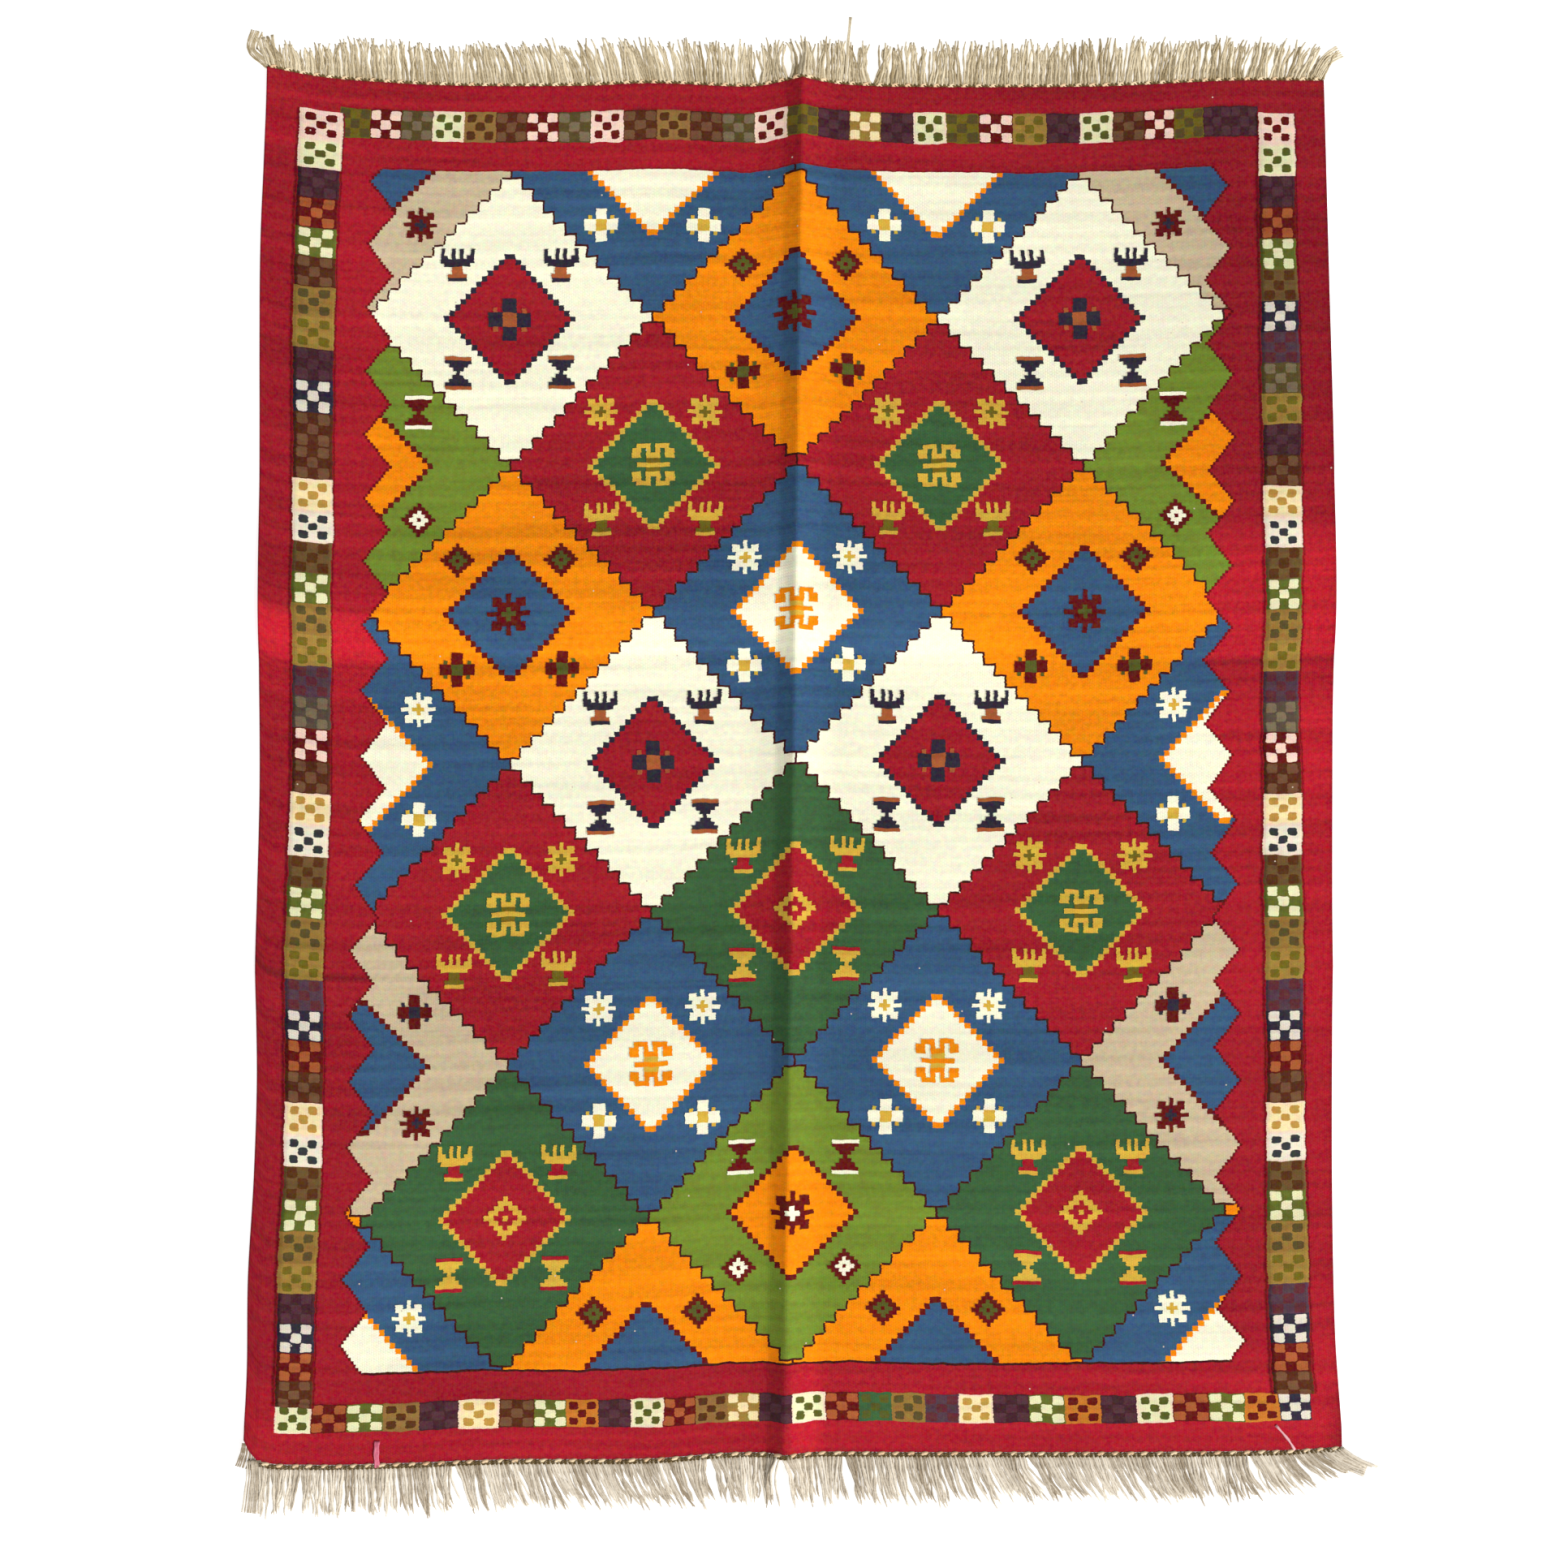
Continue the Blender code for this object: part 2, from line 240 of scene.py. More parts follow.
# The left halves of six small figures, charted with "#" in the first dye and "+" in the
# second: star, horns, comb, cross, hourglass and stepped diamond
FIGURE_ROWS = (
    "....# .###. #..#. ...## .++++ ....#",
    ".##.# ##.#. #..#. ...## .#### ...##",
    ".#### ##.## ##.#. .+.## ..### ..##+",
    "..##+ ...++ ##### ###++ ...## .##++",
    "###++ .#### .#### ###++ ....# ##++#",
    "..##+ ...++ ...++ ###++ ...## .##++",
    ".#### ##.## ...++ .+.## ..### ..##+",
    ".##.# ##.#. ..+++ ...## .#### ...##",
    "....# .###. ..### ...## .++++ ....#",
)
FIGURE_SIZE = 9
FIGURES = [[half + half[-2::-1] for half in halves] for halves in zip(*map(str.split, FIGURE_ROWS))]

BRIGHTNESS = 1.17  # how bright a white surface looks in this scene's light
RAMP_STEPS = 30  # the most colours that one ramp is given
BEAD_PITCH = 0.0163  # between the pale turns at the fringes' roots


def between(near, far, leaving, arriving, share):
    """A share of the way along a smooth curve, which leaves near and arrives at far as told."""
    bend = leaving + arriving - 2 * (far - near)
    return near + share * (leaving + share * (far - near - leaving - bend * (1 - share)))


def table_value(table, place, column):
    """A column of a table whose first column is a place, on a smooth curve through its rows."""
    place = min(max(place, table[0][0]), table[-1][0])
    after = next(i for i in range(1, len(table)) if place <= table[i][0])
    rows = (table[0], *table, table[-1])[after - 1 : after + 3]
    (x0, y0), (x1, y1), (x2, y2), (x3, y3) = ((row[0], row[column]) for row in rows)
    step = x2 - x1
    leaving, arriving = step * (y2 - y0) / (x2 - x0), step * (y3 - y1) / (x3 - x1)
    return between(y1, y2, leaving, arriving, (place - x1) / step)


def ridge_height(distance, height, before, after):
    """A fold's ridge: highest on its crest, and nothing past the end of its flanks."""
    width, shape = before if distance < 0 else after
    first, second = FLANK_SHAPES[shape]
    share = min(abs(distance) / width, 1.0)
    return height * (1 - share**first) ** second


def lift(x, y):
    """How high the folds and the curled corners hold the underside of the cloth."""
    raised = 0.0
    for runs, start, end, start_height, end_height, before, after in RIDGES:
        along, across, length = (y, x, CLOTH_LENGTH) if runs == "lengthwise" else (x, y, CLOTH_WIDTH)
        share = min(max(along / length + 0.5, 0.0), 1.0)
        crest = start + (end - start) * share
        height = start_height + (end_height - start_height) * share
        raised = max(raised, ridge_height(across - crest, height, before, after))
    for corner_x, corner_y, corner_lift, reach in CORNERS:
        distance = math.hypot(x - corner_x, y - corner_y)
        raised = max(raised, ridge_height(distance, corner_lift, (reach, "folded"), (reach, "folded")))
    return raised


def laid(u, v):
    """Where a place of the straight woven cloth lies, once its edges are as uneven as they are."""
    right_share = u / CLOTH_WIDTH + 0.5
    head_share = v / CLOTH_LENGTH + 0.5
    x = u + table_value(RIGHT_EDGE, v, 1) * right_share
    x -= table_value(LEFT_EDGE, v, 1) * (1 - right_share)
    y = v + table_value(HEAD_EDGE, u, 1) * head_share
    y -= table_value(FOOT_EDGE, u, 1) * (1 - head_share)
    return x, y


def link(name, data):
    made = bpy.data.objects.new(name, data)
    bpy.context.scene.collection.objects.link(made)
    return made


# -------- camera, floor and lights


def make_camera():
    """Almost straight above, a little towards the foot."""
    aim_x, aim_y, distance, tilt = -0.0244, -0.0239, 2.47, math.radians(3.0)
    camera = link("camera", bpy.data.cameras.new("camera"))
    camera.data.lens = 50.0
    camera.data.sensor_width = 36.0
    camera.location = (aim_x, aim_y - distance * math.sin(tilt), distance * math.cos(tilt))
    camera.rotation_euler = (tilt, 0.0, 0.0)
    bpy.context.scene.camera = camera


def make_floor():
    """A white floor, lit from behind as a studio's is, so that it shows no shadow."""
    half, below = 40.0, -0.0004
    mesh = bpy.data.meshes.new("floor")
    corners = [(-half, -half, below), (half, -half, below), (half, half, below), (-half, half, below)]
    mesh.from_pydata(corners, [], [(0, 1, 2, 3)])
    material, _, shader = blank_material("lit floor")
    looks = {
        "Base Color": (0.9, 0.9, 0.895, 1.0),
        "Emission Color": (1.0, 1.0, 1.0, 1.0),
        "Emission Strength": 0.62,
        "Roughness": 0.9,
        "Specular IOR Level": 0.1,
    }
    feed_all(shader, looks)
    mesh.materials.append(material)
    floor = link("floor", mesh)
    return floor


def make_lights():
    """A soft, far light from the foot's right, and a white surround."""
    world = bpy.data.worlds.new("studio")
    world.use_nodes = True
    background = world.node_tree.nodes["Background"]
    feed_all(background, {"Color": (1.0, 1.0, 1.0, 1.0), "Strength": 0.47})
    bpy.context.scene.world = world
    lamp = bpy.data.lights.new("key", "SUN")
    lamp.angle = math.radians(13.0)
    lamp.energy = 3.52
    key = link("key", lamp)
    key.location = (6.1, -6.1, 6.9)
    key.rotation_euler = (-key.location).to_track_quat("-Z", "Y").to_euler()
    bpy.context.scene.view_settings.view_transform = "Standard"


# -------- material maths


def linear(name):
    """A dye as the shader takes it."""
    shares = [value / 255 for value in DYES[name]]
    shares = [(s / 12.92 if s <= 0.04045 else ((s + 0.055) / 1.055) ** 2.4) for s in shares]
    return [s / BRIGHTNESS for s in shares] + [1.0]


def feed(socket, value):
    """Give a socket a fixed value, a dye by its name, or what another node works out."""
    if isinstance(value, str):
        value = linear(value)
    if isinstance(value, Number):
        value = value.socket
    if isinstance(value, bpy.types.NodeSocket):
        socket.id_data.links.new(value, socket)
    else:
        socket.default_value = value


def feed_all(node, inputs):
    for key, value in inputs.items():
        feed(node.inputs[key], value)


def add_node(tree, kind, inputs, **settings):
    """A shader node with these settings, its inputs fed by their names or places."""
    node = tree.nodes.new("ShaderNode" + kind)
    for name, value in settings.items():
        setattr(node, name, value)
    feed_all(node, inputs)
    return node


def blank_material(name):
    """A new material, its nodes and its shader."""
    material = bpy.data.materials.new(name)
    material.use_nodes = True
    return material, material.node_tree, material.node_tree.nodes["Principled BSDF"]


def add_relief(shader, height, strength, depth):
    inputs = {"Strength": strength, "Distance": depth, "Height": height}
    feed(shader.inputs["Normal"], add_node(shader.id_data, "Bump", inputs).outputs[0])


def operation(name):
    """A method of Number that works out one operation of the maths node."""
    return lambda self, *others: self.maths(name, *others)


class Number:
    """A number that a material works out for each place, which +, -, * and / combine."""

    __add__, __sub__ = operation("ADD"), operation("SUBTRACT")
    __mul__, __truediv__ = operation("MULTIPLY"), operation("DIVIDE")
    __abs__, sign = operation("ABSOLUTE"), operation("SIGN")
    floor, rounded = operation("FLOOR"), operation("ROUND")
    larger, smaller = operation("MAXIMUM"), operation("MINIMUM")
    over, under = operation("GREATER_THAN"), operation("LESS_THAN")
    remainder = operation("MODULO")
    zigzag = operation("PINGPONG")  # 0 at whole periods, and half a period in between

    def __init__(self, socket):
        self.socket, self.tree = socket, socket.id_data

    def maths(self, name, *others):
        inputs = dict(enumerate((self, *others)))
        return Number(add_node(self.tree, "Math", inputs, operation=name).outputs[0])

    def within(self, low, high):
        return self.over(low) * self.under(high)

    def rise(self, start, end):
        """0 before the start, 1 past the end, and a smooth rise in between."""
        inputs = {"Value": self, "From Min": start, "From Max": end}
        node = add_node(self.tree, "MapRange", inputs, interpolation_type="SMOOTHSTEP")
        return Number(node.outputs["Result"])

    def peak(self, centre, before, after):
        """1 at the centre, and a smooth fall to 0 this far before and after it."""
        return self.rise(centre - before, centre) * self.rise(centre + after, centre)

    def or_if(self, condition, other):
        """The other where the condition is 1, and this where it is 0."""
        node = add_node(self.tree, "Mix", {0: condition, 2: self, 3: other}, data_type="FLOAT")
        return Number(node.outputs[0])


def woven_place(tree):
    """u and v."""
    reader = add_node(tree, "UVMap", {}, uv_map="weave")
    parts = add_node(tree, "SeparateXYZ", {0: reader.outputs[0]})
    return Number(parts.outputs[0]), Number(parts.outputs[1])


def place_of(tree, x, y, z=0.0):
    return add_node(tree, "CombineXYZ", {0: x, 1: y, 2: z}).outputs[0]


def parts_of(colour):
    """A colour's red, green and blue."""
    node = add_node(colour.id_data, "SeparateColor", {0: colour})
    return [Number(node.outputs[i]) for i in range(3)]


def soft_noise(place, scale, detail=2.0, roughness=0.5):
    """Three smooth random numbers around 0.5."""
    inputs = {"Vector": place, "Scale": scale, "Detail": detail, "Roughness": roughness}
    return parts_of(add_node(place.id_data, "TexNoise", inputs).outputs["Color"])


def hash_noise(place):
    """A random number from 0 to 1 for each different place."""
    node = add_node(place.id_data, "TexWhiteNoise", {"Vector": place}, noise_dimensions="3D")
    return Number(node.outputs["Value"])


def steps(share, colours):
    """The colour of the step that share, from 0 to 1, falls on: a colour and its fourth number."""
    node = add_node(share.tree, "ValToRGB", {0: share})
    node.color_ramp.interpolation = "CONSTANT"
    elements = node.color_ramp.elements
    for i in range(len(colours) - 2):
        elements.new((i + 1) / len(colours))
    for i, colour in enumerate(colours):
        elements[i].position = i / len(colours)
        elements[i].color = colour
    return node.outputs[0], Number(node.outputs[1])


def looked_up(index, values):
    """The value, from 0 to 1, that stands at a whole number in a list of any length."""
    found = None
    for first in range(0, len(values), RAMP_STEPS):
        part = values[first : first + RAMP_STEPS]
        share = (index + (0.5 - first)) / len(part)
        colour, _ = steps(share, [[value] * 3 + [1.0] for value in part])
        value = parts_of(colour)[0]
        found = value if found is None else found.or_if(index.over(first - 0.5), value)
    return found


def chosen(condition, first, second):
    """The second colour where the condition is 1, and the first where it is 0."""
    inputs = {0: condition, 6: first, 7: second}
    return add_node(condition.tree, "Mix", inputs, data_type="RGBA").outputs[2]


# -------- the woven pattern

HEAD_BAND = (0.713, 0.7476)
FOOT_BAND = (-0.7479, -0.717)
SIDE_HEAD, SIDE_FOOT = 0.74, -0.7185
SIDE_REACH = 0.06  # how far in the side blocks reach over the end rows, in blocks
FIELD_HEAD, FIELD_FOOT = 0.6785, -0.6825
TOOTH_PITCH, TOOTH_DEPTH, TOOTH_STEPS = 0.073, 0.029, 20
LEFT_TOOTH, RIGHT_TOOTH = 0.664, 0.6555  # v at the tip of each side's first tooth
LOZENGE_WIDTH, LOZENGE_HEIGHT = 0.325, 0.34
LATTICE_MIDDLE = 0.167  # v at the middle of the lozenge that is nearest the middle of the field
COARSE = 1 / 26  # the steps of a lozenge's edge, as a share of its width and height
INNER_REACH, RIM_REACH = 0.205, 0.235  # the inner lozenge and its rim, as a share of the whole
FIGURE_CELL = 0.0043
FIGURE_ACROSS, FIGURE_ALONG = 0.059, 0.062  # from a lozenge's middle to the middle of its figures
MIDDLE_FIGURE = 1.25  # how much larger the middle figure is
DRIFT, WANDER, PICK_STRAY = 0.005, 0.0045, 0.0009  # how far the weaving strays, by size
SHADE_U, SHADE_V = 0.0015, -0.0009  # from a place to the raised figure that shades it
LINT_CELL, LINT_SHARE = 0.0022, 0.00015  # one cell in a few thousand holds a speck


def on_curve(place, points):
    """The value of a smooth curve through points, at a place along them."""
    low, high = min(y for _, y in points), max(y for _, y in points)
    start, end = points[0][0], points[-1][0]
    node = add_node(place.tree, "FloatCurve", {"Value": (place - start) / (end - start)})
    knots = node.mapping.curves[0].points
    shares = [((x - start) / (end - start), (y - low) / (high - low)) for x, y in points]
    knots[0].location, knots[1].location = shares[0], shares[-1]
    for x, y in shares[1:-1]:
        knots.new(x, y)
    node.mapping.update()
    return Number(node.outputs[0]) * (high - low) + low


def on_column(place, table, column):
    return on_curve(place, [(row[0], row[column]) for row in table])


def side_line(v, at_right, left):
    """How far out a line along the sides is, from its column for the left and its for the right."""
    on_left = on_column(v, SIDE_LINES, left)
    return on_left.or_if(at_right, on_column(v, SIDE_LINES, left + 3))


def letters_as_steps(place, letters):
    """The number of the kind of block at a place: place counts blocks from 0 along the letters."""
    kinds = [(list(BLOCKS).index(letter) + 0.5) / len(BLOCKS) for letter in letters]
    return looked_up(place.floor(), kinds)


def block_colour(kind, x, y, in_side):
    """A block's colour at x and y, both from -0.5 to 0.5, and how light its ground is."""
    looks = list(BLOCKS.values())
    ground, light = steps(kind, [linear(g)[:3] + [lightness] for g, _, lightness in looks])
    spots = steps(kind, [linear(spot) for _, spot, _ in looks])[0]
    column = (x * (light * 0.24 + 1.06) + 0.5) * 3.0
    row = (y * (light * 0.14 + in_side * 0.12 + 1.08) + 0.5) * 3.0
    inside = column.within(0.0, 3.0) * row.within(0.0, 3.0)
    odd = (column.floor() + row.floor()).remainder(2.0)
    in_u, in_v = column - column.floor() - 0.5, row - row.floor() - 0.5
    rounded = (in_u * in_u + in_v * in_v).under(light * -0.05 + 0.39)
    rim = light.over(0.8) * abs(x).over(0.445).larger(abs(y).over(0.46)) * 0.65
    colour = chosen(rim, ground, "pink")
    return chosen(inside * rounded * odd.under(0.5), colour, spots), light


def side_shade(u, at_right, inner, outer, dark):
    """Painted shade along both edges of the blocks at the sides, and a painted highlight just inside their
    right-hand edges.
    """
    from_left = u - (outer * -1.0).or_if(at_right, inner)
    from_right = (inner * -1.0).or_if(at_right, outer) - u
    shade = from_left.peak(0.001, 0.003, 0.005) * dark * -0.46
    shade = shade + from_left.peak(-0.0022, 0.0036, 0.0022) * -0.62
    shade = shade + from_right.peak(-0.0014, 0.0024, 0.0016) * -0.56
    return shade + from_right.peak(0.0012, 0.0014, 0.0014) * dark * 0.3


def border(u, v):
    """The blocks of the border: their colour, where they are, and the shade along their edges."""
    at_right = u.over(0.0)
    inner, outer = side_line(v, at_right, 1), side_line(v, at_right, 2)
    across_side = (abs(u) - inner) / (outer - inner)
    along_left, along_right = on_curve(v, LEFT_COUNT), on_curve(v, RIGHT_COUNT)
    along_side = along_left.or_if(at_right, along_right)
    beside = v.within(SIDE_FOOT, SIDE_HEAD)
    in_side = beside * across_side.over(-SIDE_REACH)
    along_head, along_foot = on_curve(u, HEAD_COUNT), on_curve(u, FOOT_COUNT)
    across_head = (v - HEAD_BAND[0]) / (HEAD_BAND[1] - HEAD_BAND[0])
    near_foot = v - on_curve(u, FOOT_PULL)
    across_foot = (near_foot - FOOT_BAND[0]) / (FOOT_BAND[1] - FOOT_BAND[0])
    below = near_foot.under(FOOT_BAND[1] + 0.001) * across_side.under(-SIDE_REACH)
    at_foot = v.under(SIDE_FOOT).larger(below)

    def by_row(head, side, foot):
        return head.or_if(in_side, side).or_if(at_foot, foot)

    side_kind = letters_as_steps(along_left, LEFT_BLOCKS)
    side_kind = side_kind.or_if(at_right, letters_as_steps(along_right, RIGHT_BLOCKS))
    head_kind = letters_as_steps(along_head, HEAD_BLOCKS)
    kind = by_row(head_kind, side_kind, letters_as_steps(along_foot, FOOT_BLOCKS))
    along = by_row(along_head, along_side, along_foot)
    across = by_row(across_head, across_side, across_foot)
    in_head_row, in_foot_row = (u.within(row[0][0], row[-1][0]) for row in (HEAD_COUNT, FOOT_COUNT))
    in_row = in_head_row.larger(in_side).or_if(at_foot, in_foot_row)
    colour, light = block_colour(kind, along - along.floor() - 0.5, across - 0.5, in_side)
    blocks = abs(across - 0.5).under(light * 0.022 + 0.5) * in_row

    dark = light * -0.75 + 1.0
    shade = side_shade(u, at_right, inner, outer, dark)
    # Painted shadow along the head's side of the rows of blocks at both ends
    above = (v - HEAD_BAND[1]).peak(0.0006, 0.0022, 0.003) * in_head_row
    above = above.larger((near_foot - FOOT_BAND[1]).peak(0.0006, 0.0022, 0.003) * in_foot_row)
    return colour, blocks, shade * beside - above * dark * 0.2 + 1.0


def toothed_field(u, v):
    """Where the field is, its sides being stepped teeth, and the dark line just outside it."""
    at_right = u.over(0.0)
    tips = side_line(v, at_right, 3)
    first = at_right * (RIGHT_TOOTH - LEFT_TOOTH) + LEFT_TOOTH
    passed = (v - first) / (TOOTH_PITCH / TOOTH_STEPS)
    depth = TOOTH_DEPTH * 2 / TOOTH_STEPS
    tooth = passed.rounded().zigzag(TOOTH_STEPS / 2) * depth
    along = v.within(FIELD_FOOT, FIELD_HEAD)
    past_edge = abs(u) - tips + tooth
    line = past_edge.within(-0.0002, 0.003) * along
    line = line.larger(v.within(FIELD_HEAD, FIELD_HEAD + 0.002) * past_edge.under(0.0) * 0.6)
    return past_edge.under(0.0) * along, line


def figure_bits(index, column, plane):
    """Whether the charts have a stitch of one dye, at a row of all the charts and a column."""
    rows = ["".join(str(int(stitch == plane)) for stitch in row) for chart in FIGURES for row in chart]
    found = looked_up(index, [int(row, 2) / 2**FIGURE_SIZE for row in rows])
    node = add_node(index.tree, "Math", {0: 2.0, 1: column}, operation="POWER")
    power = Number(node.outputs[0])
    return (found * power * 2.0 + 0.001).floor().remainder(2.0)


def lozenge_at(u, v, cell):
    """The lozenge that a cell of the weave belongs to, and how near its edge: 0.5 on the edge."""
    across = ((u / (LOZENGE_WIDTH * cell)).floor() + 0.5) * cell
    along = ((v - LATTICE_MIDDLE) / (LOZENGE_HEIGHT * cell)).rounded() * cell
    a, b = across + along, across - along
    i, j = a.rounded(), b.rounded()
    return i, j, abs(a - i).larger(abs(b - j))


def lozenge_outline(u, v):
    """Where the dark outline runs along the steps between two lozenges."""
    half = 0.0012
    first = lozenge_at(u + half, v + half, COARSE)
    second = lozenge_at(u - half, v - half, COARSE)
    differs = abs(first[0] - second[0]) + abs(first[1] - second[1])
    return differs.over(0.5)


def lozenge_figures(u, v):
    """The small figures at a place: the lozenge's number, its reach, and the figures' two dyes."""
    i, j, _ = lozenge_at(u, v, COARSE)
    _, _, reach = lozenge_at(u, v, COARSE / 2)
    column, row = i + j, j - i + 3.0
    from_u = u - column * (LOZENGE_WIDTH / 2)
    from_v = v - ((i - j) * (LOZENGE_HEIGHT / 2) + LATTICE_MIDDLE)

    half_row = (abs(column) / 2.0).floor()
    share = (row * 2.0 + half_row + 0.5) / len(FIELD_KINDS)
    figures = [[(figure + 0.5) / len(FIGURES) for figure in kind[5:]] + [1.0] for kind in FIELD_KINDS]
    pick, _ = steps(share, figures)
    towards_head, towards_foot, middle = parts_of(pick)

    in_middle = reach.under(INNER_REACH)
    which = towards_foot.or_if(from_v.over(0.0), towards_head).or_if(in_middle, middle)
    which = (which * len(FIGURES)).floor()
    x = (abs(from_u) - FIGURE_ACROSS).or_if(in_middle, from_u / MIDDLE_FIGURE)
    y = (abs(from_v) - FIGURE_ALONG) * from_v.sign()
    y = y.or_if(in_middle, from_v / MIDDLE_FIGURE)
    half_size = FIGURE_SIZE / 2
    chart_column = (x / FIGURE_CELL + half_size).floor()
    chart_row = (y / -FIGURE_CELL + half_size).floor()
    last = FIGURE_SIZE - 0.5
    on_chart = chart_column.within(-0.5, last) * chart_row.within(-0.5, last)
    index = which * FIGURE_SIZE + chart_row
    halved = abs(column).over(2.5).larger(row.under(0.5)).larger(row.over(7.5))
    on_chart = on_chart * (in_middle * halved * -1.0 + 1.0)
    main = figure_bits(index, chart_column, "#") * on_chart
    accent = figure_bits(index, chart_column, "+") * on_chart
    return share, reach, main, accent


def lozenge_lattice(u, v):
    """The field's stepped lozenges with their small figures: a colour, and where figures stand."""
    share, reach, main, accent = lozenge_figures(u, v)
    dyes = [steps(share, [linear(kind[i]) for kind in FIELD_KINDS])[0] for i in range(5)]
    ground, inner, rim, first, second = dyes
    in_middle = reach.under(INNER_REACH)
    colour = chosen(reach.under(RIM_REACH), ground, rim)
    colour = chosen(in_middle, colour, inner)
    colour = chosen(main, colour, chosen(in_middle, first, rim))
    colour = chosen(accent, colour, second)
    colour = chosen(lozenge_outline(u, v), colour, "outline")
    return colour, main.larger(accent)


def woven_colour(tree, u, v):
    """The dyes of the cloth, its raised figures, its red ground, and the shade along its edges."""
    drift = soft_noise(place_of(tree, u, v), 9.0, 1.0)
    wander = soft_noise(place_of(tree, u, v, 2.0), 60.0, 2.0)
    pick = hash_noise(place_of(tree, 0.0, (v / 0.0012).floor()))
    moved_u = u + (drift[0] - 0.5) * DRIFT + (wander[0] - 0.5) * WANDER + (pick - 0.5) * PICK_STRAY
    moved_v = v + (drift[1] - 0.5) * DRIFT + (wander[1] - 0.5) * WANDER
    blocks, in_blocks, shade = border(moved_u, moved_v)
    field, line = toothed_field(moved_u, moved_v)
    lozenges, figures = lozenge_lattice(moved_u, moved_v)
    # Painted shadow beside the raised figures, on the side away from the light
    _, _, main, accent = lozenge_figures(moved_u + SHADE_U, moved_v + SHADE_V)
    figures = figures * field
    cast = main.larger(accent) * (figures * -1.0 + 1.0) * field
    colour = chosen(field, "red", lozenges)
    foot_line = field * moved_v.under(FIELD_FOOT + 0.0026)
    colour = chosen(foot_line, colour, "outline")
    colour = chosen(in_blocks, colour, blocks)
    ground = field.larger(in_blocks) * -1.0 + 1.0
    shade = shade * (cast * -0.3 + 1.0) * (line * -0.58 + 1.0)
    return colour, figures.larger(in_blocks), ground, shade


def red_dye_and_painted_light(u, v):
    """How much brighter or darker than its dye the red ground is, from uneven dyeing and from painted
    light and shade along the folds and ends: 0 where it is as dyed.
    """
    on_left, on_right = on_column(v, RED_TONE, 1), on_column(v, RED_TONE, 2)
    to_right = u.rise(-0.15, 0.6).larger(u.rise(-0.01, 0.03) * v.rise(-0.52, -0.66) * 0.85)
    dye_and_painted_light = on_left * (to_right * -1.0 + 1.0) + on_right * to_right - 1.0
    # Painted shade along the two crosswise folds, and a painted highlight to the right of the lengthwise
    # one at the foot
    dye_and_painted_light = dye_and_painted_light + v.peak(-0.244, 0.006, 0.008) * u.rise(0.1, -0.4) * -0.28
    dye_and_painted_light = dye_and_painted_light + v.peak(0.1065, 0.006, 0.005) * -0.22
    from_crest = u - v * 0.008
    lit = from_crest.rise(0.001, 0.007) * from_crest.rise(0.044, 0.03) * v.rise(-0.5, -0.7)
    dye_and_painted_light = dye_and_painted_light + lit * 0.17
    # The strips outside the blocks, then painted shade along the two ends under the beads, and the corner
    # at the foot's right made darker
    beside = v.rise(-0.705, -0.675) * v.rise(0.705, 0.675)
    outside = u.rise(-0.545, -0.562) * on_curve(v, LEFT_STRIP_TONE)
    outside = outside + u.rise(0.545, 0.562) * v.rise(0.5, 0.3) * 0.11
    dye_and_painted_light = dye_and_painted_light + outside * beside - abs(v).rise(0.774, 0.779) * 0.16
    return dye_and_painted_light - u.rise(0.588, 0.608) * v.rise(-0.69, -0.765) * 0.22


def lint_specks(tree, u, v):
    """Where the few specks of lint are: 1 on a speck."""
    cell_u, cell_v = (u / LINT_CELL).floor(), (v / LINT_CELL).floor()
    picked = hash_noise(place_of(tree, cell_u, cell_v, 4.0)).over(1 - LINT_SHARE)
    aside_u, aside_v = u / LINT_CELL - cell_u - 0.5, v / LINT_CELL - cell_v - 0.5
    return picked * (aside_u * aside_u + aside_v * aside_v).under(0.16)


def wear_and_painted_light(tree, u, v, colour, ground, shade):
    """The dyes as they are after uneven dyeing and handling, under painted light and shade: brighter
    towards the foot, and lighter and darker along the folds.
    """
    streaks = soft_noise(place_of(tree, u * 2.2, v * 75.0), 1.0, 3.0, 0.6)
    patches = soft_noise(place_of(tree, u, v, 3.0), 5.0)
    mottle = soft_noise(place_of(tree, u, v, 7.0), 170.0, 2.0, 0.6)
    fibres = soft_noise(place_of(tree, u, v * 1.6, 11.0), 700.0, 1.0)
    fluff = soft_noise(place_of(tree, u, v, 13.0), 330.0, 1.0)
    tone = (streaks[0] - 0.5) * 0.84 + (patches[0] - 0.5) * 0.36 + (fibres[0] - 0.5) * 0.4
    # Painted light: the cloth is made brighter towards the foot
    tone = tone + v.rise(0.1, -0.7) * 0.16  # brighter towards the foot
    dye_and_painted_light = red_dye_and_painted_light(u, v)
    selvedge = u.rise(0.606, 0.6085) * 0.34 + u.rise(-0.6078, -0.6092) * 0.3
    # The painted light and shade of the folds and ends reach every dye, and the red ground most
    whole = (dye_and_painted_light * 0.28 + 1.0) * shade * (selvedge * -1.0 + 1.0)
    dyes = parts_of(colour)
    depth = dyes[1] * -0.75 + 1.1  # pale dyes vary less
    channels = []
    for i, share in enumerate((1.0, 0.4, 0.45)):
        own = (tone + (mottle[i] - 0.5) * 0.8) * depth + 1.0
        own = own * whole * (dye_and_painted_light * ground * (0.95 * share) + 1.0)
        channels.append((dyes[i] * own + (fluff[i] - 0.5) * 0.044).larger(0.001))
    made = add_node(tree, "CombineColor", dict(enumerate(channels)))
    return chosen(lint_specks(tree, u, v), made.outputs[0], "lint")


